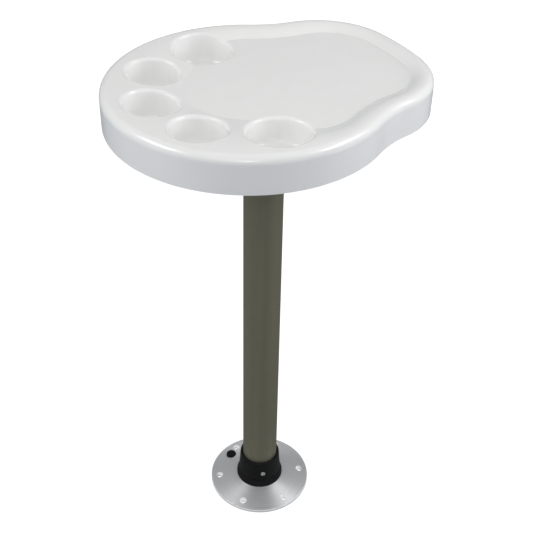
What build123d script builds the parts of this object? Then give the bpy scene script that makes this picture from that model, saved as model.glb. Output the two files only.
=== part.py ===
from build123d import *
import math
import os

# Single-post boat and camper table: a moulded top with drink recesses, lifted on and off an
# aluminium post that turns in a collar on a round floor plate. The origin is on the floor at
# the post's axis, +Z is up, and +X runs along the top's line of symmetry to the tray end.

# Floor plate
plate_diameter = 177.8
plate_rim_height = 5.0
plate_edge_bevel = 1.0
plate_wall = 4.5
plate_rim_band = 6.0
hub_height = 13.0
hub_diameter = 84.0
hub_ring_wall = 20.0
floor_hole_circle = 149.0
floor_hole_count = 6
floor_hole_diameter = 6.6
floor_hole_sink_diameter = 13.0
floor_hole_sink_depth = 3.2
floor_hole_boss_diameter = 18.0
floor_hole_turn = 36.2

# Post
post_diameter = 60.3
post_wall = 2.5
post_length = 760.0
turning_clearance = 0.05

# Plug in the foot of the post
foot_nose_diameter = 47.0
foot_nose_clearance = 0.1
foot_nose_lift = 0.6
foot_shoulder_height = 4.0
foot_spigot_length = 40.0
foot_wall = 5.0
plug_clearance = 0.05
latch_groove_depth = 3.0
foot_rivet_diameter = 4.8
foot_rivet_count = 3
foot_rivet_rise = 18.0
thrust_washer_height = 1.5
washer_clearance = 0.3

# Cap in the head of the post
cap_flange_height = 3.0
cap_spigot_length = 18.0
cap_wall = 3.0
cap_edge_round = 1.0

# Collar on the floor plate
collar_flange_diameter = 82.2
collar_flange_edge = 4.5
collar_flange_rise = 13.0
collar_waist_diameter = 75.0
collar_groove_height = 1.4
collar_groove_depth = 0.9
collar_height = 54.0
collar_top_diameter = 69.2
collar_top_round = 1.6
collar_bore_bevel = 0.8
collar_screw_circle = 72.0
collar_screw_count = 4
collar_screw_diameter = 4.0
collar_screw_head_diameter = 8.0
collar_screw_head_sink = 0.3
collar_screw_bite = 8.0

# Lock screw in the side of the collar
lock_screw_turn = -110.9
lock_screw_rise = 30.0
lock_screw_diameter = 5.0
lock_screw_head_diameter = 8.6
lock_screw_head_height = 2.4
lock_screw_head_round = 1.2
lock_screw_slot_width = 1.2
lock_screw_slot_depth = 1.2
lock_screw_backed_off = 0.35
lock_spot_diameter = 10.0
lock_spot_depth = 0.6
insert_diameter = 7.2
insert_length = 4.0

# Release button and latch in the floor plate
button_turn = 112.2
button_reach = 67.0
button_diameter = 17.8
button_clearance = 0.1
button_stand = 3.0
button_dome = 1.6
button_travel = 3.2
button_floor_gap = 0.1
button_slot_clearance = 0.3
button_leg_width = 4.6
button_leg_thickness = 5.0
slide_width = 12.0
slide_thickness = 2.5
slide_floor_gap = 2.4
slide_clearance = 0.3
slide_end_margin = 8.0
leg_slot_clearance = 0.25
tongue_width = 9.0
tongue_shoulder_reach = 28.0
tongue_tip_clearance = 0.3
latch_block_width = 34.0
latch_block_margin = 3.5
spring_diameter = 4.4
spring_wire = 0.7
spring_turns = 7
spring_reach = 36.0
spring_length = 14.0
spring_rise = 4.4
spring_window_clearance = 0.4
spring_tab_thickness = 1.4
spring_tab_width = 3.6
strap_width = 26.0
strap_thickness = 1.0
strap_start_reach = 30.0
strap_length = 30.0
strap_screw_diameter = 3.0
strap_screw_head_diameter = 5.4
strap_screw_head_height = 1.0
strap_screw_bite = 4.5
strap_screw_edge = 3.6

# Bracket under the top
bracket_flange_diameter = 124.0
bracket_flange_height = 6.0
bracket_roof = 8.0
bracket_socket_depth = 46.0
bracket_socket_wall = 4.0
bracket_socket_flare = 1.5
bracket_gusset_count = 6
bracket_gusset_thickness = 5.0
bracket_gusset_margin = 13.0
bracket_root_round = 3.0
bracket_screw_circle = 102.0
bracket_screw_count = 6
bracket_screw_diameter = 5.0
bracket_screw_clearance = 0.3
bracket_screw_bite = 9.0
bracket_screw_head_diameter = 9.4
bracket_screw_head_height = 3.2
bracket_screw_head_round = 1.4
bracket_washer_diameter = 12.0
bracket_washer_height = 1.2
bush_wall = 3.0
bush_lip_height = 2.0
bush_lip_width = 2.4
bush_roof_gap = 1.0

# Moulded top
top_length = 463.0
top_width = 400.0
cup_end_reach = 228.0
corner_radius = 118.0
corner_offset = 35.0
end_crown = 2.0
waist_radius = 160.0
top_height = 52.5
top_edge_round = 11.0
skirt_wall = 4.0
floor_wall = 4.0
rim_wall = 6.0
tray_depth = 8.0
tray_crest_inset = 14.0
tray_end_inset = 30.0
tray_side_inset = 42.0
tray_ramp_inset = 110.0
ramp_turn_start = 62.0
ramp_turn_end = 125.0
tray_foot_softness = 0.2
tray_line_pull = 0.5
tray_line_points = 20
tray_line_count = 6
cup_floor_drop = 46.0
cup_draft = 4.0
cup_floor_round = 12.0
cup_rim_round = 5.0
cup_wall = 3.5
cup_fan_turn = 174.0
end_cup_reach = 138.0
small_cup_radius = 37.5
small_cup_reach = 136.5
small_cup_turn = 39.4
large_cup_radius = 43.5
large_cup_reach = 132.5
large_cup_turn = 84.2
pad_height = 8.0
pad_margin = 4.0
rib_thickness = 3.0
rib_drop = 24.0
tray_rib_turns = (25.0, 62.0, 298.0, 335.0)

# Cross recess of a screw, as shares of the head's diameter
drive_length_share = 0.5
drive_width_share = 0.12
drive_depth_share = 0.15

# Heights above the floor
washer_top = hub_height + thrust_washer_height
post_bottom = washer_top + foot_shoulder_height
post_top = post_bottom + post_length
cap_top = post_top + cap_flange_height
bracket_top = cap_top + bracket_roof
socket_mouth = cap_top - bracket_socket_depth
floor_under = bracket_top + pad_height
tray_floor = floor_under + floor_wall
rim_top = tray_floor + tray_depth
skirt_bottom = rim_top - top_height
cup_floor = rim_top - cup_floor_drop
collar_top = hub_height + collar_height
lock_screw_height = hub_height + lock_screw_rise

# Radii
plate_radius = plate_diameter / 2
hub_radius = hub_diameter / 2
post_radius = post_diameter / 2
post_bore = post_radius - post_wall
nose_radius = foot_nose_diameter / 2
groove_radius = nose_radius - latch_groove_depth
running_bore = post_radius + turning_clearance
hub_ring_radius = nose_radius + hub_ring_wall
plate_fall = (hub_height - plate_rim_height) / (plate_radius - hub_radius)

# Latch heights and reaches, measured along the button's direction
slide_top = slide_floor_gap + slide_thickness
channel_ceiling = slide_top + slide_clearance
button_radius = button_diameter / 2
button_bore = button_radius + button_clearance
button_bottom = button_travel + button_floor_gap
button_top = hub_height - (button_reach - hub_radius) * plate_fall + button_stand
button_roof = slide_top + button_travel + button_slot_clearance
leg_middle = (button_bottom + button_roof) / 2
slide_end = button_reach + slide_end_margin
channel_end = slide_end + button_travel + slide_clearance
strap_top = slide_floor_gap - slide_clearance
strap_bottom = strap_top - strap_thickness

EPS = 0.5
NEAR = 0.01


def ring(outer, inner, low, high):
    """A plain round tube between two heights."""
    return Pos(0, 0, low) * extrude(Circle(outer) - Circle(inner), high - low)


def rod(radius, low, high):
    """A plain round bar between two heights."""
    return Pos(0, 0, low) * extrude(Circle(radius), high - low)


def block(x_low, x_high, width, low, high):
    """A box centred on the X axis between two reaches and two heights."""
    box = Box(x_high - x_low, width, high - low, align=(Align.MIN, Align.CENTER, Align.MIN))
    return Pos(x_low, 0, low) * box


def turned(points):
    """A solid of revolution about Z from (radius, height) points."""
    return revolve(Plane.XZ * make_face(Polyline(*points, close=True)), Axis.Z)


def around(solid, count, start=0.0):
    """Copies of a solid spaced evenly about Z."""
    return [Rot(0, 0, start + index * 360 / count) * solid for index in range(count)]


def radial(solid, turn, height):
    """Lay a solid built along Z so that its axis points outward along a direction."""
    return Rot(0, 0, turn) * Pos(0, 0, height) * Rot(0, 90, 0) * solid


def polar(centre, radius, angle):
    """The point at a distance and an angle in degrees from a centre."""
    turn = math.radians(angle)
    return (centre[0] + radius * math.cos(turn), centre[1] + radius * math.sin(turn))


def heading(start, stop):
    """The angle in degrees of the line from one point to another."""
    return math.degrees(math.atan2(stop[1] - start[1], stop[0] - start[0]))


def cross_drive(head_diameter, low):
    """A cross recess cut upward into the underside of a screw's head."""
    bar = Pos(0, 0, low) * Box(
        drive_length_share * head_diameter, drive_width_share * head_diameter,
        2 * drive_depth_share * head_diameter,
    )
    return bar + Rot(0, 0, 90) * bar


def plate_height(radius):
    """Height of the floor plate's sloping top at a radius."""
    return hub_height - (radius - hub_radius) * plate_fall


# The top's outline is a chain of tangent arcs: the tray end, its corners, the waists and the
# round lobe that holds the drink recesses. The sunken tray has a like chain of its own, whose
# lobe runs in under the recesses, so that its side is a narrow ridge at the tray end and a
# long ramp at the other.
lobe_radius = top_width / 2
end_reach = top_length - cup_end_reach
lobe_centre = (lobe_radius - cup_end_reach, 0.0)


def arc(centre, radius, start, stop):
    """An arc about a centre from one direction to another."""
    return CenterArc(centre, radius, start, stop - start)


def mix(first, second, share):
    """A value part of the way from one value to another."""
    return first + (second - first) * share


def ease(share):
    """A share held from 0 to 1 that starts and stops gently."""
    held = min(max(share, 0.0), 1.0)
    return held ** 2 * (3 - 2 * held)


def tray_end_arcs(end_inset, side_inset):
    """The arc of the tray end, the two arcs of one side, and the direction where the lobe starts."""
    reach = end_reach - end_inset
    corner = corner_radius - side_inset
    waist = waist_radius + side_inset
    lobe = lobe_radius - side_inset
    corner_centre = (reach - end_crown - corner, corner_offset)
    end_radius = corner + end_crown / 2 + corner_offset ** 2 / (2 * end_crown)
    end_centre = (reach - end_radius, 0.0)
    span = math.dist(lobe_centre, corner_centre)
    along = ((lobe + waist) ** 2 - (corner + waist) ** 2 + span ** 2) / (2 * span)
    across = math.sqrt((lobe + waist) ** 2 - along ** 2)
    line = heading(lobe_centre, corner_centre)
    waist_centre = polar(polar(lobe_centre, along, line), across, line + 90)
    end_turn = heading(end_centre, corner_centre)
    corner_turn = heading(corner_centre, waist_centre)
    lobe_turn = heading(lobe_centre, waist_centre)
    side = [
        arc(corner_centre, corner, end_turn, corner_turn),
        arc(waist_centre, waist, corner_turn + 180, lobe_turn + 180),
    ]
    return arc(end_centre, end_radius, -end_turn, end_turn), side, lobe_turn


def outline_face(end, side, lobe, height):
    """A closed face at a height from the tray end's arc, one side's arcs and the lobe."""
    other_side = [mirror(edge, Plane.XZ) for edge in reversed(side)]
    return Pos(0, 0, height) * make_face([end, *side, lobe, *other_side])


def top_slice(inset, height):
    """A line inset from the top's outline, as a face at a height."""
    end, side, turn = tray_end_arcs(inset, inset)
    return outline_face(end, side, arc(lobe_centre, lobe_radius - inset, turn, 360 - turn), height)


def tray_slice(share):
    """A level line on the tray's side at a share of the way from its floor to its crest."""
    side_inset = mix(tray_side_inset, tray_crest_inset, share)
    end, side, turn = tray_end_arcs(mix(tray_end_inset, tray_crest_inset, share), side_inset)
    points = []
    for index in range(tray_line_points + 1):
        angle = mix(turn, 360 - turn, index / tray_line_points)
        half_angle = min(angle, 360 - angle)
        ramp = ease((half_angle - ramp_turn_start) / (ramp_turn_end - ramp_turn_start))
        floor_inset = mix(tray_side_inset, tray_ramp_inset, ramp)
        points.append(polar(lobe_centre, lobe_radius - mix(floor_inset, tray_crest_inset, share), angle))
    ends = (polar((0, 0), 1, turn + 90), polar((0, 0), 1, 90 - turn))
    lobe = Spline(*points, tangents=ends, tangent_scalars=(tray_line_pull, tray_line_pull))
    rise = mix(share * (2 - share), ease(share), tray_foot_softness)
    return outline_face(end, side, lobe, tray_floor + tray_depth * rise)


def tray_space():
    """The sunken tray: one smooth side from its floor up to the rim."""
    return loft([tray_slice(index / (tray_line_count - 1)) for index in range(tray_line_count)])


def cup_places():
    """Radius and centre of every drink recess, in a fan about the middle of the lobe."""
    places = [(small_cup_radius, *polar(lobe_centre, end_cup_reach, cup_fan_turn))]
    for side in (1, -1):
        small_turn = cup_fan_turn + side * small_cup_turn
        large_turn = cup_fan_turn + side * large_cup_turn
        places.append((small_cup_radius, *polar(lobe_centre, small_cup_reach, small_turn)))
        places.append((large_cup_radius, *polar(lobe_centre, large_cup_reach, large_turn)))
    return places


cup_lean = math.tan(math.radians(cup_draft))


def cup_form(radius, skin=0.0):
    """A drink recess with a drafted wall and a rounded floor, or its outside with a skin."""
    low = cup_floor - skin
    high = rim_top + top_edge_round
    wide = radius + skin / math.cos(math.radians(cup_draft))
    low_radius = wide - cup_lean * (tray_floor - low)
    high_radius = wide + cup_lean * (high - tray_floor)
    face = make_face(Polyline((0, low), (low_radius, low), (high_radius, high), (0, high), close=True))
    corner = face.vertices().sort_by_distance((low_radius, low, 0))[0]
    return revolve(Plane.XZ * fillet(corner, cup_floor_round + skin), Axis.Z)


def rim_edges(solid):
    """The upper edges of the drink recesses."""
    found = []
    for edge in solid.edges():
        if edge.bounding_box().min.Z < tray_floor - EPS:
            continue
        middle = edge.position_at(0.5)
        for radius, x, y in cup_places():
            wall_radius = radius + cup_lean * (middle.Z - tray_floor)
            if abs(math.hypot(middle.X - x, middle.Y - y) - wall_radius) < NEAR:
                found.append(edge)
    return found


def underside_hollow():
    """The open space under the top, less what the moulding keeps there."""
    ceiling = rim_top - rim_wall
    space = extrude(top_slice(skirt_wall, skirt_bottom), ceiling - skirt_bottom)
    space -= Pos(0, 0, -floor_wall) * tray_space()
    for radius, x, y in cup_places():
        space -= Pos(x, y, 0) * cup_form(radius, cup_wall)
    pad_radius = bracket_flange_diameter / 2 + pad_margin
    space -= rod(pad_radius, bracket_top, floor_under)
    rib = block(pad_radius - pad_margin, top_length, rib_thickness, floor_under - rib_drop, rim_top)
    cup_rib_turns = [heading((0, 0), (x, y)) for radius, x, y in cup_places()]
    for turn in [*tray_rib_turns, *cup_rib_turns]:
        space -= Rot(0, 0, turn) * rib
    return space


def table_top():
    """Moulded top: skirt, raised rim, sunken tray and drink recesses, hollow and ribbed beneath."""
    body = extrude(top_slice(0, skirt_bottom), top_height)
    body -= tray_space()
    rim = top_slice(0, rim_top).face().outer_wire()
    body = fillet([edge for edge in body.edges() if rim.distance_to(edge @ 0.5) < NEAR], top_edge_round)
    for radius, x, y in cup_places():
        body -= Pos(x, y, 0) * cup_form(radius)
    body = fillet(rim_edges(body), cup_rim_round)
    body -= underside_hollow()
    pilot = rod(bracket_screw_diameter / 2, bracket_top, bracket_top + bracket_screw_bite)
    for hole in around(Pos(bracket_screw_circle / 2, 0, 0) * pilot, bracket_screw_count):
        body -= hole
    return body


def top_bracket():
    """Cast bracket: a flange under the top and a socket that drops over the post."""
    bush_outside = running_bore + bush_wall
    socket_outside = bush_outside + bracket_socket_wall
    flange_bottom = bracket_top - bracket_flange_height
    flange_radius = bracket_flange_diameter / 2
    body = turned([
        (0, bracket_top), (flange_radius, bracket_top), (flange_radius, flange_bottom),
        (socket_outside + bracket_socket_flare, flange_bottom), (socket_outside, socket_mouth),
        (0, socket_mouth),
    ])
    root_radius = socket_outside + bracket_socket_flare
    circles = body.edges().filter_by(GeomType.CIRCLE)
    root = [edge for edge in circles if abs(edge.radius - root_radius) < NEAR]
    body = fillet(root, bracket_root_round)
    gusset_reach = flange_radius - bracket_gusset_margin
    gusset_profile = make_face(Polyline(
        (post_radius + bush_wall + bracket_socket_wall / 2, flange_bottom + EPS),
        (gusset_reach, flange_bottom + EPS), (gusset_reach, flange_bottom),
        (socket_outside - EPS, socket_mouth + bracket_flange_height),
        (post_radius + bush_wall + bracket_socket_wall / 2, socket_mouth + bracket_flange_height),
        close=True,
    ))
    gusset = extrude(Plane.XZ * gusset_profile, bracket_gusset_thickness / 2, both=True)
    for piece in around(gusset, bracket_gusset_count, 180 / bracket_gusset_count):
        body += piece
    body -= rod(bush_outside, socket_mouth, cap_top)
    hole = rod(bracket_screw_diameter / 2 + bracket_screw_clearance, flange_bottom, bracket_top)
    for piece in around(Pos(bracket_screw_circle / 2, 0, 0) * hole, bracket_screw_count):
        body -= piece
    return body


def bracket_washers():
    """Plain washers under the bracket screws."""
    high = bracket_top - bracket_flange_height
    washer = ring(bracket_washer_diameter / 2, bracket_screw_diameter / 2 + bracket_screw_clearance,
                  high - bracket_washer_height, high)
    return around(Pos(bracket_screw_circle / 2, 0, 0) * washer, bracket_screw_count)


def bracket_screws():
    """Pan-head screws that hold the bracket to the top."""
    seat = bracket_top - bracket_flange_height - bracket_washer_height
    head_low = seat - bracket_screw_head_height
    head = rod(bracket_screw_head_diameter / 2, head_low, seat)
    head = fillet(head.edges().sort_by(Axis.Z)[0], bracket_screw_head_round)
    head -= cross_drive(bracket_screw_head_diameter, head_low)
    shank = rod(bracket_screw_diameter / 2, seat, bracket_top + bracket_screw_bite)
    return around(Pos(bracket_screw_circle / 2, 0, 0) * (head + shank), bracket_screw_count)


def socket_bush():
    """Plastic liner of the bracket's socket, with a lip at its mouth."""
    outside = running_bore + bush_wall
    sleeve = ring(outside, running_bore, socket_mouth, cap_top - bush_roof_gap)
    lip = ring(outside + bush_lip_width, running_bore, socket_mouth - bush_lip_height, socket_mouth)
    return sleeve + lip


def rivet_hole():
    """The hole of one foot rivet, from inside the plug to outside the post."""
    inside = post_bore - foot_wall - EPS
    bar = rod(foot_rivet_diameter / 2, 0, post_radius + EPS - inside)
    return Pos(inside, 0, post_bottom + foot_rivet_rise) * Rot(0, 90, 0) * bar


def post_tube():
    """Round aluminium tube."""
    body = ring(post_radius, post_bore, post_bottom, post_top)
    for hole in around(rivet_hole(), foot_rivet_count):
        body -= hole
    return body


def post_top_cap():
    """Plastic cap in the head of the post, on which the bracket rests."""
    spigot_radius = post_bore - plug_clearance
    body = ring(spigot_radius, spigot_radius - cap_wall, post_top - cap_spigot_length, post_top)
    flange = rod(post_radius - washer_clearance, post_top, cap_top)
    flange = fillet(flange.edges().sort_by(Axis.Z)[-1], cap_edge_round)
    return body + flange


def post_foot():
    """Plug in the foot of the post: a shoulder to stand on and a grooved nose for the latch."""
    spigot_radius = post_bore - plug_clearance
    spigot_top = post_bottom + foot_spigot_length
    inner = nose_radius - latch_groove_depth - foot_wall
    body = turned([
        (0, foot_nose_lift), (nose_radius, foot_nose_lift), (nose_radius, strap_top),
        (groove_radius, strap_top), (groove_radius, channel_ceiling), (nose_radius, channel_ceiling),
        (nose_radius, washer_top), (post_radius - washer_clearance, washer_top),
        (post_radius - washer_clearance, post_bottom), (spigot_radius, post_bottom),
        (spigot_radius, spigot_top), (spigot_radius - foot_wall, spigot_top),
        (spigot_radius - foot_wall, post_bottom), (inner, washer_top),
        (inner, foot_nose_lift + foot_wall), (0, foot_nose_lift + foot_wall),
    ])
    for hole in around(rivet_hole(), foot_rivet_count):
        body -= hole
    return body


def foot_rivets():
    """Flush rivets that fix the foot plug in the post."""
    inside = post_bore - foot_wall - plug_clearance
    rivet = rod(foot_rivet_diameter / 2 - plug_clearance, 0, post_radius - plug_clearance - inside)
    rivet = Pos(inside, 0, post_bottom + foot_rivet_rise) * Rot(0, 90, 0) * rivet
    return around(rivet, foot_rivet_count)


def thrust_washer():
    """Slippery washer that carries the post on the hub."""
    return ring(post_radius - washer_clearance, nose_radius + washer_clearance, hub_height, washer_top)


def latch_spaces():
    """Spaces cut in the floor plate for the latch, its strap and the button."""
    shoulder = tongue_shoulder_reach - slide_clearance
    wide = block(shoulder, channel_end, slide_width + 2 * slide_clearance, -EPS, channel_ceiling)
    narrow = block(0, shoulder, tongue_width + 2 * slide_clearance, -EPS, channel_ceiling)
    spring_top = spring_rise + spring_diameter / 2 + slide_clearance
    tab_end = spring_reach + spring_length + spring_tab_thickness
    spring_room = block(spring_reach - slide_clearance, tab_end + slide_clearance,
                        spring_diameter + 2 * slide_clearance, 0, spring_top)
    strap_end = strap_start_reach + strap_length
    strap_room = block(strap_start_reach - slide_clearance, strap_end + slide_clearance,
                       strap_width + 2 * slide_clearance, -EPS, strap_top)
    bore = Pos(button_reach, 0, 0) * rod(button_bore, -EPS, hub_height)
    spaces = wide + narrow + spring_room + strap_room + bore
    for x, y in strap_screw_places():
        spaces += Pos(x, y, 0) * rod(strap_screw_diameter / 2, 0, strap_bottom + strap_screw_bite)
    return Rot(0, 0, button_turn) * spaces


def strap_screw_places():
    """Centres of the strap screws before the latch is turned to the button's direction."""
    near = strap_start_reach + strap_screw_edge
    far = strap_start_reach + strap_length - strap_screw_edge
    side = strap_width / 2 - strap_screw_edge
    return [(x, y) for x in (near, far) for y in (-side, side)]


def base_plate():
    """Turned floor plate with a sloping top, a hub, screw holes and a hollow underside."""
    bore = nose_radius + foot_nose_clearance
    bevel_radius = plate_radius - plate_edge_bevel
    body = turned([
        (bore, 0), (plate_radius, 0), (plate_radius, plate_rim_height - plate_edge_bevel),
        (bevel_radius, plate_height(bevel_radius)), (hub_radius, hub_height), (bore, hub_height),
    ])
    inner = hub_ring_radius
    outer = plate_radius - plate_rim_band
    space = turned([
        (inner, -EPS), (outer, -EPS), (outer, plate_height(outer) - plate_wall),
        (inner, plate_height(inner) - plate_wall),
    ])
    boss = Pos(floor_hole_circle / 2, 0, 0) * rod(floor_hole_boss_diameter / 2, -EPS, hub_height)
    for piece in around(boss, floor_hole_count, floor_hole_turn):
        space -= piece
    block_end = channel_end + latch_block_margin
    latch_block = block(0, block_end, latch_block_width, -EPS, hub_height)
    space -= Rot(0, 0, button_turn) * latch_block
    body -= space
    hole_top = plate_height(floor_hole_circle / 2)
    sink_low = hole_top - floor_hole_sink_depth
    hole_radius = floor_hole_diameter / 2
    sink_radius = floor_hole_sink_diameter / 2
    hole = turned([
        (0, -EPS), (hole_radius, -EPS), (hole_radius, sink_low), (sink_radius, hole_top),
        (sink_radius, hub_height), (0, hub_height),
    ])
    for piece in around(Pos(floor_hole_circle / 2, 0, 0) * hole, floor_hole_count, floor_hole_turn):
        body -= piece
    head_room = rod(collar_screw_head_diameter / 2 + plug_clearance, -EPS, collar_screw_head_sink)
    screw_room = collar_screw_form(plug_clearance) + Pos(collar_screw_circle / 2, 0, 0) * head_room
    for piece in around(screw_room, collar_screw_count, collar_screw_start()):
        body -= piece
    return body - latch_spaces()


def collar_screw_start():
    """Direction of the first collar screw, clear of the latch."""
    return button_turn + 180 / collar_screw_count


def collar_screw_form(clearance=0.0):
    """A countersunk screw that comes up through the plate into the collar."""
    shank = collar_screw_diameter / 2 + clearance
    head = collar_screw_head_diameter / 2 + clearance
    low = collar_screw_head_sink
    screw = turned([
        (0, low), (head, low), (shank, low + head - shank),
        (shank, hub_height + collar_screw_bite), (0, hub_height + collar_screw_bite),
    ])
    return Pos(collar_screw_circle / 2, 0, 0) * screw


def collar_screws():
    """Screws that hold the collar to the floor plate."""
    drive = cross_drive(collar_screw_head_diameter, collar_screw_head_sink)
    screw = collar_screw_form() - Pos(collar_screw_circle / 2, 0, 0) * drive
    return around(screw, collar_screw_count, collar_screw_start())


def collar_outside(height):
    """Radius of the collar's upper body at a height."""
    low = hub_height + collar_flange_rise + collar_groove_height
    share = (height - low) / (collar_top - low)
    return collar_waist_diameter / 2 + share * (collar_top_diameter - collar_waist_diameter) / 2


lock_seat = collar_outside(lock_screw_height) - lock_spot_depth


def collar():
    """Plastic collar: a flange on the hub, a groove and a tapered body round the post."""
    waist = collar_waist_diameter / 2
    flange = collar_flange_diameter / 2
    groove_low = hub_height + collar_flange_rise
    groove_high = groove_low + collar_groove_height
    profile = make_face(Polyline(
        (running_bore, hub_height), (flange, hub_height), (flange, hub_height + collar_flange_edge),
        (waist, groove_low), (waist - collar_groove_depth, groove_low),
        (waist - collar_groove_depth, groove_high), (waist, groove_high),
        (collar_top_diameter / 2, collar_top), (running_bore, collar_top),
        close=True,
    ))
    rim = profile.vertices().sort_by_distance((collar_top_diameter / 2, collar_top, 0))[0]
    profile = fillet(rim, collar_top_round)
    mouth = profile.vertices().sort_by_distance((running_bore, collar_top, 0))[0]
    profile = chamfer(mouth, collar_bore_bevel)
    body = revolve(Plane.XZ * profile, Axis.Z)
    spot = rod(lock_spot_diameter / 2, lock_seat, lock_seat + lock_screw_head_diameter)
    body -= radial(spot, lock_screw_turn, lock_screw_height)
    insert_hole = rod(insert_diameter / 2, 0, lock_seat + EPS)
    body -= radial(insert_hole, lock_screw_turn, lock_screw_height)
    for piece in around(collar_screw_form(), collar_screw_count, collar_screw_start()):
        body -= piece
    return body


def lock_screw_insert():
    """Threaded brass sleeve moulded into the collar for the lock screw."""
    sleeve = ring(insert_diameter / 2, lock_screw_diameter / 2, lock_seat - insert_length, lock_seat)
    return radial(sleeve, lock_screw_turn, lock_screw_height)


def lock_screw():
    """Slotted pan-head screw in the collar's side, backed off from the post."""
    head = rod(lock_screw_head_diameter / 2, lock_seat, lock_seat + lock_screw_head_height)
    head = fillet(head.edges().sort_by(Axis.Z)[-1], lock_screw_head_round)
    slot_low = lock_seat + lock_screw_head_height - lock_screw_slot_depth
    head -= Pos(0, 0, slot_low) * Box(
        lock_screw_head_diameter, lock_screw_slot_width, lock_screw_head_height,
        align=(Align.CENTER, Align.CENTER, Align.MIN),
    )
    shank = rod(lock_screw_diameter / 2, post_radius + lock_screw_backed_off, lock_seat)
    return radial(head + shank, lock_screw_turn, lock_screw_height)


def slanted_leg(thickness, width, low, high):
    """A bar that leans outward at 45 degrees as it rises through the latch."""
    half = thickness / 2
    bottom = button_reach + low - leg_middle
    top = button_reach + high - leg_middle
    face = make_face(Polyline(
        (bottom - half, low), (bottom + half, low), (top + half, high), (top - half, high), close=True,
    ))
    return extrude(Plane.XZ * face, width / 2, both=True)


def release_button():
    """Domed push button whose slanted leg draws the latch as it goes down."""
    body = rod(button_radius, button_bottom, button_top)
    body = fillet(body.edges().sort_by(Axis.Z)[-1], button_dome)
    body = Pos(button_reach, 0, 0) * body
    slot_width = slide_width + 2 * button_slot_clearance
    body -= block(0, plate_diameter, slot_width, button_bottom - EPS, button_roof)
    leg = slanted_leg(button_leg_thickness, button_leg_width, button_bottom, button_roof + EPS)
    return Rot(0, 0, button_turn) * (body + leg)


def latch_slide():
    """Flat latch: a tongue in the foot's groove, a spring window and a slanted slot for the button."""
    tip = groove_radius + tongue_tip_clearance
    body = block(tongue_shoulder_reach, slide_end, slide_width, slide_floor_gap, slide_top)
    body += block(0, tongue_shoulder_reach + EPS, tongue_width, slide_floor_gap, slide_top)
    body -= rod(tip, 0, hub_height)
    tab_end = spring_reach + spring_length + spring_tab_thickness
    window_width = spring_diameter + 2 * spring_window_clearance
    body -= block(spring_reach, tab_end + spring_window_clearance, window_width, 0, hub_height)
    slot = slanted_leg(button_leg_thickness + 2 * leg_slot_clearance,
                       button_leg_width + 2 * leg_slot_clearance, 0, hub_height)
    return Rot(0, 0, button_turn) * (body - slot)


def latch_spring():
    """Coil spring that pushes the latch into the foot's groove."""
    mean_radius = (spring_diameter - spring_wire) / 2
    rise = spring_length - spring_wire
    path = Helix(rise / spring_turns, rise, mean_radius)
    wire = sweep(Plane(path @ 0, z_dir=path % 0) * Circle(spring_wire / 2), path)
    wire = Pos(spring_reach + spring_wire / 2, 0, spring_rise) * Rot(0, 90, 0) * wire
    return Rot(0, 0, button_turn) * wire


def latch_strap():
    """Strap under the latch, with a tab that the spring bears on."""
    strap_end = strap_start_reach + strap_length
    body = block(strap_start_reach, strap_end, strap_width, strap_bottom, strap_top)
    tab_low = spring_reach + spring_length
    body += block(tab_low, tab_low + spring_tab_thickness, spring_tab_width,
                  strap_bottom, spring_rise + spring_diameter / 2)
    for x, y in strap_screw_places():
        body -= Pos(x, y, 0) * rod(strap_screw_diameter / 2, 0, hub_height)
    return Rot(0, 0, button_turn) * body


def strap_screws():
    """Small screws that hold the latch strap to the floor plate."""
    head_low = strap_bottom - strap_screw_head_height
    screw = rod(strap_screw_diameter / 2, strap_bottom, strap_bottom + strap_screw_bite)
    screw += rod(strap_screw_head_diameter / 2, head_low, strap_bottom)
    screw -= cross_drive(strap_screw_head_diameter, head_low)
    return [Rot(0, 0, button_turn) * Pos(x, y, 0) * screw for x, y in strap_screw_places()]


NODES = (
    table_top, top_bracket, bracket_washers, bracket_screws, socket_bush,
    post_tube, post_top_cap, post_foot, foot_rivets,
    base_plate, collar, collar_screws, lock_screw, lock_screw_insert, thrust_washer,
    release_button, latch_slide, latch_spring, latch_strap, strap_screws,
)

os.makedirs("parts", exist_ok=True)
for node in NODES:
    shape = node()
    if isinstance(shape, list):
        shape = Compound(children=shape)
    export_step(shape, f"parts/{node.__name__}.step")
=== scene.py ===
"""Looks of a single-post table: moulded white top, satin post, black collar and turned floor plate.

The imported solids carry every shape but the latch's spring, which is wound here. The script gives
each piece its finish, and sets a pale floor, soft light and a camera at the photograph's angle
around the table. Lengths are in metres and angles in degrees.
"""

from __future__ import annotations

import logging
import math
from dataclasses import dataclass, field
from enum import Enum, IntEnum
from typing import Union

import bmesh
import bpy
from mathutils import Matrix, Vector

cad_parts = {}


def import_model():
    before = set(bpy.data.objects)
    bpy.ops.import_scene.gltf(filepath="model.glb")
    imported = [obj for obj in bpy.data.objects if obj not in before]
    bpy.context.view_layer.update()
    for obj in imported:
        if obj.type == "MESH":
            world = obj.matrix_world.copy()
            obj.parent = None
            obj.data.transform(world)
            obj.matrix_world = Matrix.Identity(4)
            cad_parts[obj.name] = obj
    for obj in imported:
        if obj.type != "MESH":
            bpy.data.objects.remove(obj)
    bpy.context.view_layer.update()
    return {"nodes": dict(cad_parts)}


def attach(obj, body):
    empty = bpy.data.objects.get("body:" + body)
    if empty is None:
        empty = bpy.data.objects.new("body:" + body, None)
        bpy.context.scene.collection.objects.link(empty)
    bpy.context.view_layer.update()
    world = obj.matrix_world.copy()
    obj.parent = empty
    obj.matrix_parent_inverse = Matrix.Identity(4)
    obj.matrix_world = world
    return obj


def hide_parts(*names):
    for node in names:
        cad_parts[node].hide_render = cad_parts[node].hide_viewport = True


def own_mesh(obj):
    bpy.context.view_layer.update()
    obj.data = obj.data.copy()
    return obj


LOG = logging.getLogger("table")
QUARTER_TURN = 90.0
NOISE_RANGE = (0.3, 0.7)
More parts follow.
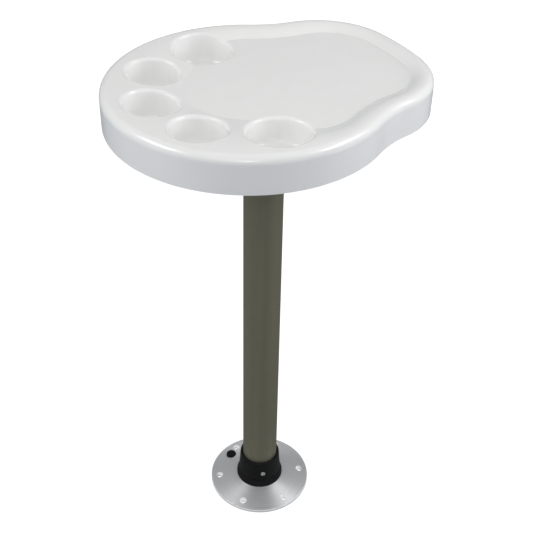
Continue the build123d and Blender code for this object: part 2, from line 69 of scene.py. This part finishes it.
EDGE_RANGE = (0.7, 0.98)
EDGE_SAMPLES = 6

Colour = tuple[float, float, float]
Point = tuple[float, float, float]
Range = tuple[float, float]
Feed = Union[float, Colour, bpy.types.NodeSocket]


class Axis(Enum):
    """Scales that stretch or flatten a pattern along one axis of the object."""

    ALONG_Z = (1.0, 1.0, 0.012)
    FLAT = (1.0, 1.0, 0.0)


class MixSocket(IntEnum):
    """Numbers of the mix node's sockets for colours, since their names repeat."""

    SHARE = 0
    RESULT = 2
    FIRST = 6
    SECOND = 7


class Graph:
    """A material's node graph, with short calls for the nodes that the finishes share."""

    def __init__(self, name: str) -> None:
        """Start a material with one principled shader and Object coordinates.

        Args:
            name: Name of the new material.
        """
        self.material = bpy.data.materials.new(name)
        self.material.use_nodes = True
        self.tree = self.material.node_tree
        self.shader = self.tree.nodes["Principled BSDF"]
        self.place = self.tree.nodes.new("ShaderNodeTexCoord").outputs["Object"]

    def feed(self, socket: bpy.types.NodeSocket, value: Feed) -> None:
        """Link a socket to another, or set its constant.

        Args:
            socket: The input to fill.
            value: Another node's output, a number, or a colour or vector.
        """
        if isinstance(value, bpy.types.NodeSocket):
            self.tree.links.new(value, socket)
        elif isinstance(value, tuple) and len(socket.default_value) == 4:
            socket.default_value = (*value, 1.0)
        else:
            socket.default_value = value

    def constant(self, **values: Union[float, Colour]) -> None:
        """Set constants on the shader's own sockets, with _ for a space in a name.

        Args:
            values: Socket names and their values.
        """
        for name, value in values.items():
            self.feed(self.shader.inputs[name.replace("_", " ")], value)

    def node(
        self, kind: str, inputs: dict[Union[str, int], Feed], **settings: object
    ) -> bpy.types.Node:
        """Add a node.

        Args:
            kind: Blender's name of the node.
            inputs: What goes into its inputs, by name or number.
            settings: Values of the node's own properties.

        Returns:
            The new node.
        """
        made = self.tree.nodes.new(kind)
        for name, value in settings.items():
            setattr(made, name, value)
        for key, value in inputs.items():
            self.feed(made.inputs[key], value)
        return made

    def vector(
        self, operation: str, inputs: dict[Union[str, int], Feed], output: str = "Vector"
    ) -> bpy.types.NodeSocket:
        """One step of vector arithmetic."""
        return self.node("ShaderNodeVectorMath", inputs, operation=operation).outputs[output]

    def stretched(self, axis: Axis) -> bpy.types.NodeSocket:
        """Object coordinates scaled along each axis."""
        inputs = {"Vector": self.place, "Scale": axis.value}
        return self.node("ShaderNodeMapping", inputs).outputs["Vector"]

    def noise(
        self, where: bpy.types.NodeSocket, scale: float = 1.0, detail: float = 2.0
    ) -> bpy.types.NodeSocket:
        """A soft random field from 0 to 1.

        Args:
            where: Coordinates that it is read at.
            scale: Features per metre.
            detail: Number of finer layers.

        Returns:
            The field's value.
        """
        made = self.node("ShaderNodeTexNoise", {"Vector": where, "Scale": scale, "Detail": detail})
        return made.outputs["Fac"]

    def math(self, operation: str, first: Feed, second: Feed) -> bpy.types.NodeSocket:
        """One sum on two numbers."""
        return self.node("ShaderNodeMath", {0: first, 1: second}, operation=operation).outputs[0]

    def weighted(self, share: float, first: Feed, second: Feed) -> bpy.types.NodeSocket:
        """A sum of two fields.

        Args:
            share: Weight of the first field. The second has the rest of 1.
            first: One field.
            second: The other field.

        Returns:
            The sum's value.
        """
        rest = self.math("MULTIPLY", second, 1.0 - share)
        return self.math("ADD", self.math("MULTIPLY", first, share), rest)

    def span(
        self, value: Feed, low: float, high: float, start: float = 0.0, stop: float = 1.0
    ) -> bpy.types.NodeSocket:
        """Carry a value from one range to another.

        Args:
            value: The number to carry over.
            low: Result at the start of the range.
            high: Result at the end of the range.
            start: Where the range starts.
            stop: Where the range stops.

        Returns:
            The carried value, held within low and high.
        """
        inputs = {"Value": value, "From Min": start, "From Max": stop, "To Min": low, "To Max": high}
        return self.node("ShaderNodeMapRange", inputs).outputs["Result"]

    def graded(self, noise: Feed, low: float, high: float) -> bpy.types.NodeSocket:
        """Carry the range that a random field mostly fills to another."""
        return self.span(noise, low, high, *NOISE_RANGE)

    def blend(self, share: Feed, first: Feed, second: Feed) -> bpy.types.NodeSocket:
        """A colour between two colours."""
        inputs = {MixSocket.SHARE: share, MixSocket.FIRST: first, MixSocket.SECOND: second}
        return self.node("ShaderNodeMix", inputs, data_type="RGBA").outputs[MixSocket.RESULT]

    def radius(self) -> bpy.types.NodeSocket:
        """Distance from the post's axis."""
        return self.vector("LENGTH", {0: self.stretched(Axis.FLAT)}, "Value")

    def round_the_axis(self, fineness: float, sweep: float) -> bpy.types.NodeSocket:
        """Coordinates that run in rings about the post's axis.

        Args:
            fineness: How quickly the pattern changes from ring to ring.
            sweep: How quickly it changes along a ring.

        Returns:
            A vector for a noise node.
        """
        way = self.vector("NORMALIZE", {0: self.stretched(Axis.FLAT)})
        turn = self.vector("SCALE", {0: way, "Scale": sweep})
        step = self.math("MULTIPLY", self.radius(), fineness)
        rise = self.node("ShaderNodeCombineXYZ", {"Z": step}).outputs["Vector"]
        return self.vector("ADD", {0: turn, 1: rise})

    def edge(self, reach: float) -> bpy.types.NodeSocket:
        """A mask of 1 along sharp edges and 0 on open faces.

        Args:
            reach: Width of the worn band in metres.

        Returns:
            The mask's value.
        """
        bevel = self.node("ShaderNodeBevel", {"Radius": reach}, samples=EDGE_SAMPLES)
        true = self.node("ShaderNodeNewGeometry", {}).outputs["Normal"]
        level = self.vector("DOT_PRODUCT", {0: bevel.outputs["Normal"], 1: true}, "Value")
        return self.span(level, 1.0, 0.0, *EDGE_RANGE)

    def slope(self, steep: float, level: float) -> bpy.types.NodeSocket:
        """A mask of 1 on steep faces and 0 on level ones.

        Args:
            steep: Upward share of the normal at which a face counts as steep.
            level: Upward share of the normal at which a face counts as level.

        Returns:
            The mask's value.
        """
        way = self.node("ShaderNodeNewGeometry", {}).outputs["True Normal"]
        rise = self.node("ShaderNodeSeparateXYZ", {"Vector": way}).outputs["Z"]
        return self.span(rise, 1.0, 0.0, steep, level)

    def bump(
        self, height: Feed, depth: float, under: Union[bpy.types.NodeSocket, None] = None
    ) -> bpy.types.NodeSocket:
        """Tilt the surface by a height field.

        Args:
            height: The field, from 0 to 1.
            depth: Height of a full step in metres.
            under: A bump that this one lies on.

        Returns:
            The new normal.
        """
        inputs: dict[Union[str, int], Feed] = {"Height": height, "Distance": depth, "Strength": 1.0}
        if under is not None:
            inputs["Normal"] = under
        return self.node("ShaderNodeBump", inputs).outputs["Normal"]

    def dress(self, socket: str, value: bpy.types.NodeSocket) -> None:
        """Link a pattern to one of the shader's sockets."""
        self.feed(self.shader.inputs[socket], value)


@dataclass(frozen=True)
class Finish:
    """A surface finish: its constants, and the detail that its kind adds."""

    name: str
    colour: Colour
    shade: Colour
    roughness: Range
    metallic: float = 0.0
    specular: float = 0.5
    edge_tint: Colour = (1.0, 1.0, 1.0)

    def material(self) -> bpy.types.Material:
        """Build the finish as a material.

        Returns:
            The new material.
        """
        graph = Graph(self.name)
        graph.constant(
            Metallic=self.metallic, Specular_IOR_Level=self.specular, Specular_Tint=self.edge_tint,
        )
        self.detail(graph)
        return graph.material

    def detail(self, graph: Graph) -> None:
        """Add colour, roughness and relief to the graph."""
        raise NotImplementedError


@dataclass(frozen=True)
class Moulded(Finish):
    """Moulded plastic: a fine skin, slow changes of gloss and edges that handling has polished."""

    skin_scale: float = 900.0
    skin_depth: float = 0.00001
    skin_layers: float = 3.0
    wave_scale: float = 14.0
    wave_depth: float = 0.0
    cloud_ratio: float = 4.0
    cloud_layers: float = 4.0
    coat: float = 0.0
    coat_roughness: float = 0.08
    edge_reach: float = 0.0006
    edge_polish: float = 0.05

    def detail(self, graph: Graph) -> None:
        """Add the skin, the waviness and the gloss of a moulding.

        Args:
            graph: The material's graph.
        """
        slow = graph.noise(graph.place, self.wave_scale)
        fine = graph.noise(graph.place, self.skin_scale, self.skin_layers)
        cloud = graph.noise(graph.place, self.wave_scale * self.cloud_ratio, self.cloud_layers)
        edge = graph.edge(self.edge_reach)
        graph.constant(Coat_Weight=self.coat, Coat_Roughness=self.coat_roughness)
        tone = graph.math("MAXIMUM", graph.graded(cloud, 0.0, 1.0), edge)
        graph.dress("Base Color", graph.blend(tone, self.shade, self.colour))
        gloss = graph.graded(slow, *self.roughness)
        polish = graph.math("MULTIPLY", edge, self.edge_polish)
        graph.dress("Roughness", graph.math("SUBTRACT", gloss, polish))
        relief = graph.bump(fine, self.skin_depth)
        if self.wave_depth:
            relief = graph.bump(slow, self.wave_depth, relief)
        graph.dress("Normal", relief)


@dataclass(frozen=True)
class Drawn(Finish):
    """Drawn tube: fine lines and bands along the tube, and a soft mottle."""

    line_scale: float = 1500.0
    line_depth: float = 0.000006
    line_layers: float = 3.0
    line_share: float = 0.5
    band_ratio: float = 12.0
    band_share: float = 0.6
    mottle_scale: float = 60.0
    mottle_layers: float = 4.0

    def detail(self, graph: Graph) -> None:
        """Add drawing lines along Z.

        Args:
            graph: The material's graph.
        """
        along = graph.stretched(Axis.ALONG_Z)
        lines = graph.noise(along, self.line_scale, self.line_layers)
        bands = graph.noise(along, self.line_scale / self.band_ratio)
        mottle = graph.noise(graph.place, self.mottle_scale, self.mottle_layers)
        tone = graph.graded(graph.weighted(self.band_share, bands, mottle), 0.0, 1.0)
        graph.dress("Base Color", graph.blend(tone, self.shade, self.colour))
        rough = graph.weighted(self.line_share, lines, mottle)
        graph.dress("Roughness", graph.graded(rough, *self.roughness))
        graph.dress("Normal", graph.bump(lines, self.line_depth))


@dataclass(frozen=True)
class Turned(Finish):
    """Metal faced on a lathe: fine rings, a radial sheen and brighter edges, with the steep faces of its
    holes painted a dull near-white: painted light for the backdrop seen through the holes.
    """

    ring_scale: float = 1600.0
    ring_depth: float = 0.000003
    ring_sweep: float = 1.4
    ring_layers: float = 3.0
    ring_share: float = 0.5
    band_ratio: float = 9.0
    band_sweep: float = 0.9
    tone_range: Range = (0.32, 0.68)
    pull: float = 0.76
    across: float = 0.25
    edge_reach: float = 0.0008
    sink_slope: Range = (0.8, 0.95)
    sink_metal: float = 0.2
    sink_roughness: float = 0.2
    # The near-white on steep faces is painted light, standing in for the bright backdrop seen through the
    # holes.
    sink_painted_light: Colour = (0.92, 0.92, 0.92)

    def detail(self, graph: Graph) -> None:
        """Add the rings that a cutting tool leaves.

        Args:
            graph: The material's graph.
        """
        graph.constant(Anisotropic=self.pull, Anisotropic_Rotation=self.across)
        sheen = graph.node("ShaderNodeTangent", {}, direction_type="RADIAL", axis="Z")
        graph.dress("Tangent", sheen.outputs["Tangent"])
        fine = graph.round_the_axis(self.ring_scale, self.ring_sweep)
        rings = graph.noise(fine, detail=self.ring_layers)
        bands = graph.noise(graph.round_the_axis(self.ring_scale / self.band_ratio, self.band_sweep))
        marks = graph.span(graph.weighted(self.ring_share, rings, bands), 0.0, 1.0, *self.tone_range)
        tone = graph.math("MAXIMUM", marks, graph.edge(self.edge_reach))
        sink_light_mask = graph.slope(*self.sink_slope)
        face = graph.blend(tone, self.shade, self.colour)
        # Painted light: steep faces such as the countersinks and bores take the near-white and turn dull,
        # in place of the bright backdrop seen through the holes.
        graph.dress("Base Color", graph.blend(sink_light_mask, face, self.sink_painted_light))
        gloss = graph.graded(bands, *self.roughness)
        dull = graph.math("MULTIPLY", sink_light_mask, self.sink_roughness)
        graph.dress("Roughness", graph.math("ADD", gloss, dull))
        graph.dress("Metallic", graph.span(sink_light_mask, self.metallic, self.sink_metal))
        graph.dress("Normal", graph.bump(rings, self.ring_depth))


@dataclass(frozen=True)
class Cast(Finish):
    """Cast metal: a sandy skin with a few shallow pits."""

    sand_scale: float = 700.0
    sand_depth: float = 0.00012
    sand_layers: float = 4.0
    sand_low: float = 0.3
    pit_scale: float = 160.0
    pit_reach: float = 0.35

    def detail(self, graph: Graph) -> None:
        """Add the sandy skin.

        Args:
            graph: The material's graph.
        """
        sand = graph.noise(graph.place, self.sand_scale, self.sand_layers)
        cells = graph.node("ShaderNodeTexVoronoi", {"Vector": graph.place, "Scale": self.pit_scale})
        pits = graph.span(cells.outputs["Distance"], 0.0, 1.0, stop=self.pit_reach)
        tone = graph.math("MULTIPLY", graph.graded(sand, self.sand_low, 1.0), pits)
        graph.dress("Base Color", graph.blend(tone, self.shade, self.colour))
        graph.dress("Roughness", graph.graded(sand, *self.roughness))
        graph.dress("Normal", graph.bump(tone, self.sand_depth))


@dataclass(frozen=True)
class Bright(Finish):
    """Plain bright metal of screws and springs: faint scuffs and polished edges."""

    scuff_scale: float = 500.0
    scuff_depth: float = 0.000004
    scuff_layers: float = 5.0
    scuff_range: Range = (0.35, 0.65)
    edge_reach: float = 0.0003

    def detail(self, graph: Graph) -> None:
        """Add scuffs and polished edges.

        Args:
            graph: The material's graph.
        """
        scuffs = graph.noise(graph.place, self.scuff_scale, self.scuff_layers)
        marks = graph.span(scuffs, 0.0, 1.0, *self.scuff_range)
        tone = graph.math("MAXIMUM", marks, graph.edge(self.edge_reach))
        graph.dress("Base Color", graph.blend(tone, self.shade, self.colour))
        graph.dress("Roughness", graph.graded(scuffs, *self.roughness))
        graph.dress("Normal", graph.bump(scuffs, self.scuff_depth))


WHITE_MOULDING = Moulded(
    "white_moulding", (0.95, 0.95, 0.943), (0.935, 0.935, 0.928), (0.16, 0.22),
    skin_scale=700.0, skin_depth=0.000006, wave_scale=9.0, wave_depth=0.00025, coat=0.25,
)
BLACK_COLLAR = Moulded(
    "black_collar", (0.016, 0.016, 0.016), (0.012, 0.012, 0.012), (0.44, 0.54), specular=0.04,
    skin_scale=1800.0, skin_depth=0.00003, wave_scale=60.0,
)
BLACK_BUTTON = Moulded(
    "black_button", (0.004, 0.004, 0.004), (0.003, 0.003, 0.003), (0.3, 0.38), specular=0.12,
    skin_scale=1500.0, skin_depth=0.00002, wave_scale=90.0,
)
PALE_NYLON = Moulded(
    "pale_nylon", (0.74, 0.72, 0.64), (0.68, 0.66, 0.58), (0.42, 0.52),
    skin_scale=1200.0, skin_depth=0.00002, wave_scale=50.0,
)
POST_METAL = Drawn(
    "post_metal", (0.255, 0.24, 0.172), (0.23, 0.216, 0.154), (0.36, 0.46), metallic=0.5,
    edge_tint=(0.45, 0.44, 0.36),
)
PLATE_METAL = Turned(
    "plate_metal", (0.70, 0.712, 0.728), (0.60, 0.612, 0.628), (0.46, 0.54), metallic=1.0,
)
CAST_METAL = Cast(
    "cast_metal", (0.46, 0.46, 0.465), (0.30, 0.30, 0.305), (0.45, 0.6), metallic=1.0,
)
STEEL = Bright("steel", (0.62, 0.62, 0.63), (0.52, 0.52, 0.53), (0.18, 0.3), metallic=1.0)
BRASS = Bright("brass", (0.72, 0.52, 0.22), (0.6, 0.42, 0.17), (0.22, 0.34), metallic=1.0)


@dataclass
class SubAssembly:
    """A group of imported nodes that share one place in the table, and the finish of each."""

    nodes: dict[str, bpy.types.Object]
    finishes: dict[str, Finish] = field(default_factory=dict)

    def dress(self, made: dict[Finish, bpy.types.Material]) -> None:
        """Put each node's finish on its mesh.

        Args:
            made: Materials that are built already, by finish.
        """
        for name, finish in self.finishes.items():
            if finish not in made:
                made[finish] = finish.material()
            mesh = self.nodes[name].data
            mesh.materials.clear()
            mesh.materials.append(made[finish])
            LOG.info("%s wears %s", name, finish.name)


@dataclass
class MouldedTop(SubAssembly):
    """The moulded top with its drink recesses and tray."""

    finishes: dict[str, Finish] = field(default_factory=lambda: {"table_top": WHITE_MOULDING})


@dataclass
class SocketBracket(SubAssembly):
    """The bracket under the top, its liner, screws and washers."""

    finishes: dict[str, Finish] = field(default_factory=lambda: {
        "top_bracket": CAST_METAL,
        "socket_bush": PALE_NYLON,
        "bracket_screws": STEEL,
        "bracket_washers": STEEL,
    })


@dataclass
class Post(SubAssembly):
    """The post, its end plugs and their rivets."""

    finishes: dict[str, Finish] = field(default_factory=lambda: {
        "post_tube": POST_METAL,
        "post_top_cap": BLACK_COLLAR,
        "post_foot": BLACK_COLLAR,
        "foot_rivets": STEEL,
    })


@dataclass
class FloorBase(SubAssembly):
    """The floor plate, the collar and what holds them."""

    finishes: dict[str, Finish] = field(default_factory=lambda: {
        "base_plate": PLATE_METAL,
        "collar": BLACK_COLLAR,
        "collar_screws": STEEL,
        "lock_screw": STEEL,
        "lock_screw_insert": BRASS,
        "thrust_washer": PALE_NYLON,
    })


@dataclass
class Latch(SubAssembly):
    """The release button and the latch that it draws, with a wound coil spring.

    The coil has the sizes and the place of the solid that it stands in for.
    """

    finishes: dict[str, Finish] = field(default_factory=lambda: {
        "release_button": BLACK_BUTTON,
        "latch_slide": STEEL,
        "latch_spring": STEEL,
        "latch_strap": STEEL,
        "strap_screws": STEEL,
    })
    coil_diameter: float = 0.0044
    coil_start: float = 0.0361
    coil_stop: float = 0.0499
    coil_height: float = 0.0044
    coil_turns: int = 7
    coil_steps: int = 28
    wire: float = 0.0007
    wire_sides: int = 12
    bearing: float = 112.2
    travel: float = 0.0032

    def dress(self, made: dict[Finish, bpy.types.Material]) -> None:
        """Put the finishes on the nodes and set the wound spring in place of its solid.

        Args:
            made: Materials that are built already, by finish.
        """
        super().dress(made)
        mesh = bpy.data.meshes.new("latch_coil")
        self.wind(mesh)
        mesh.materials.append(made[STEEL])
        coil = bpy.data.objects.new("latch_coil", mesh)
        bpy.context.scene.collection.objects.link(coil)
        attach(coil, "base")
        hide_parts("latch_spring")
        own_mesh(coil)
        LOG.info("latch_coil wears %s", STEEL.name)

    def wind(self, mesh: bpy.types.Mesh) -> None:
        """Wind the spring's wire along the latch.

        Args:
            mesh: The empty mesh that takes the wire.
        """
        radius = (self.coil_diameter - self.wire) / 2.0
        rise = self.coil_stop - self.coil_start - self.wire
        steps = self.coil_turns * self.coil_steps
        lean = math.atan2(rise / self.coil_turns, math.tau * radius)
        form = bmesh.new()
        section = bmesh.ops.create_circle(form, segments=self.wire_sides, radius=self.wire / 2.0)
        ring = section["verts"]
        bmesh.ops.rotate(form, verts=ring, matrix=Matrix.Rotation(lean, 3, "Y"))
        start = (self.coil_start + self.wire / 2.0, radius, 0.0)
        bmesh.ops.translate(form, verts=ring, vec=start)
        bmesh.ops.spin(
            form, geom=form.verts[:] + form.edges[:], axis=(1.0, 0.0, 0.0), dvec=(rise / steps, 0.0, 0.0),
            angle=math.tau * self.coil_turns, steps=steps, use_merge=False,
        )
        open_ends = [edge for edge in form.edges if edge.is_boundary]
        bmesh.ops.holes_fill(form, edges=open_ends, sides=0)
        bmesh.ops.recalc_face_normals(form, faces=form.faces[:])
        turn = Matrix.Rotation(math.radians(self.bearing), 4, "Z")
        lift = Matrix.Translation((0.0, 0.0, self.coil_height))
        bmesh.ops.transform(form, matrix=lift @ turn, verts=form.verts[:])
        for face in form.faces:
            face.smooth = True
        form.to_mesh(mesh)
        form.free()


@dataclass(frozen=True)
class SoftLight:
    """A rectangular soft light, which can be kept out of mirror images or off dull faces."""

    name: str
    place: Point
    aim: Point
    width: float
    depth: float
    watts: float
    mirrored: bool = True
    spread: bool = True

    def set_up(self) -> None:
        """Make the light and point it."""
        lamp = bpy.data.lights.new(self.name, "AREA")
        lamp.shape = "RECTANGLE"
        lamp.size = self.width
        lamp.size_y = self.depth
        lamp.energy = self.watts
        made = bpy.data.objects.new(self.name, lamp)
        made.visible_camera = False
        made.visible_glossy = self.mirrored
        made.visible_diffuse = self.spread
        bpy.context.scene.collection.objects.link(made)
        way = Vector(self.aim) - Vector(self.place)
        turn = way.to_track_quat("-Z", "Y").to_matrix().to_4x4()
        made.matrix_world = Matrix.Translation(self.place) @ turn


@dataclass(frozen=True)
class Surround:
    """A graded room, bright above and cool below, behind a plain pale backdrop."""

    sky: Colour = (0.68, 0.672, 0.659)
    ground: Colour = (0.24, 0.263, 0.29)
    grade_start: float = 0.15
    grade_stop: float = 0.85
    backdrop: Colour = (1.0, 1.0, 1.0)

    def set_up(self) -> None:
        """Make the world and hand it to the scene."""
        world = bpy.data.worlds.new("surround")
        world.use_nodes = True
        tree = world.node_tree
        way = tree.nodes.new("ShaderNodeTexCoord")
        parts = tree.nodes.new("ShaderNodeSeparateXYZ")
        grade = tree.nodes.new("ShaderNodeMapRange")
        grade.interpolation_type = "SMOOTHSTEP"
        grade.inputs["From Min"].default_value = self.grade_start
        grade.inputs["From Max"].default_value = self.grade_stop
        tone = tree.nodes.new("ShaderNodeMix")
        tone.data_type = "RGBA"
        tone.inputs[MixSocket.FIRST].default_value = (*self.ground, 1.0)
        tone.inputs[MixSocket.SECOND].default_value = (*self.sky, 1.0)
        tree.links.new(way.outputs["Generated"], parts.inputs["Vector"])
        tree.links.new(parts.outputs["Z"], grade.inputs["Value"])
        tree.links.new(grade.outputs["Result"], tone.inputs[MixSocket.SHARE])
        seen = tree.nodes.new("ShaderNodeMix")
        seen.data_type = "RGBA"
        seen.inputs[MixSocket.SECOND].default_value = (*self.backdrop, 1.0)
        path = tree.nodes.new("ShaderNodeLightPath")
        tree.links.new(path.outputs["Is Camera Ray"], seen.inputs[MixSocket.SHARE])
        tree.links.new(tone.outputs[MixSocket.RESULT], seen.inputs[MixSocket.FIRST])
        background = tree.nodes["Background"]
        tree.links.new(seen.outputs[MixSocket.RESULT], background.inputs["Color"])
        bpy.context.scene.world = world


@dataclass(frozen=True)
class Studio:
    """A pale floor, a graded surround and soft lights."""

    floor_half: float = 14.0
    floor_colour: Colour = (0.2, 0.2, 0.2)
    floor_roughness: float = 0.9
    floor_glow: float = 1.0
    glow_colour: Colour = (1.0, 1.0, 1.0)
    surround: Surround = Surround()
    lights: tuple[SoftLight, ...] = (
        SoftLight(
            "right_light", place=(1.17, -0.77, 1.15), aim=(0.1, 0.0, 0.8),
            width=1.2, depth=0.8, watts=10.4, mirrored=False,
        ),
        SoftLight(
            "left_light", place=(-2.03, 0.58, 1.35), aim=(0.0, 0.0, 0.8),
            width=2.0, depth=1.4, watts=16.5, mirrored=False,
        ),
        SoftLight(
            "right_glint", place=(1.12, -0.84, 2.0), aim=(0.0, 0.0, 0.4),
            width=1.0, depth=0.6, watts=15.0, spread=False,
        ),
        SoftLight(
            "left_glint", place=(-1.35, 0.39, 2.0), aim=(0.0, 0.0, 0.4),
            width=1.0, depth=0.6, watts=10.0, spread=False,
        ),
        SoftLight(
            "front_light", place=(-1.12, -1.34, 2.15), aim=(0.0, 0.0, 0.8),
            width=1.4, depth=1.0, watts=4.2,
        ),
        SoftLight(
            "camera_light", place=(-0.62, -1.04, 1.52), aim=(0.0, 0.0, 0.6),
            width=0.12, depth=0.08, watts=1.2,
        ),
    )

    def set_up(self) -> None:
        """Make the floor, the surround and the lights."""
        self.lay_floor()
        self.surround.set_up()
        for light in self.lights:
            light.set_up()

    def lay_floor(self) -> None:
        """Make the floor, which glows so that it stays pale but throws no light on the table."""
        bpy.ops.mesh.primitive_plane_add(size=2.0 * self.floor_half)
        floor = bpy.context.object
        floor.name = "studio_floor"
        floor.visible_diffuse = False
        floor.visible_glossy = False
        graph = Graph("floor_paint")
        graph.constant(Base_Color=self.floor_colour, Roughness=self.floor_roughness)
        graph.constant(Emission_Color=self.glow_colour, Emission_Strength=self.floor_glow)
        floor.data.materials.append(graph.material)


@dataclass(frozen=True)
class PhotoCamera:
    """The camera of the photograph, fitted to the post, the plate and the top's outline."""

    place: Point = (-0.6245, -1.0434, 1.409)
    bearing: float = 58.8
    pitch: float = 37.19
    roll: float = 1.035
    focal_pixels: float = 976.0
    image_pixels: float = 533.0
    sensor: float = 36.0
    near: float = 0.02
    far: float = 60.0

    def set_up(self) -> None:
        """Make the camera and hand it to the scene."""
        lens = bpy.data.cameras.new("photo_camera")
        lens.sensor_width = self.sensor
        lens.lens = self.focal_pixels / self.image_pixels * self.sensor
        lens.clip_start = self.near
        lens.clip_end = self.far
        made = bpy.data.objects.new("photo_camera", lens)
        bpy.context.scene.collection.objects.link(made)
        turn = Matrix.Rotation(math.radians(self.bearing - QUARTER_TURN), 4, "Z")
        tilt = Matrix.Rotation(math.radians(QUARTER_TURN - self.pitch), 4, "X")
        lean = Matrix.Rotation(math.radians(self.roll), 4, "Z")
        made.matrix_world = Matrix.Translation(self.place) @ turn @ tilt @ lean
        bpy.context.scene.camera = made


def main() -> None:
    """Load the solids, dress every sub-assembly and set up the studio."""
    logging.basicConfig(level=logging.INFO, format="%(message)s")
    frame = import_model()
    made: dict[Finish, bpy.types.Material] = {}
    for kind in (MouldedTop, SocketBracket, Post, FloorBase, Latch):
        kind(frame["nodes"]).dress(made)
    Studio().set_up()
    PhotoCamera().set_up()
    bpy.context.scene.view_settings.view_transform = "Standard"


if __name__ == "__main__":
    main()
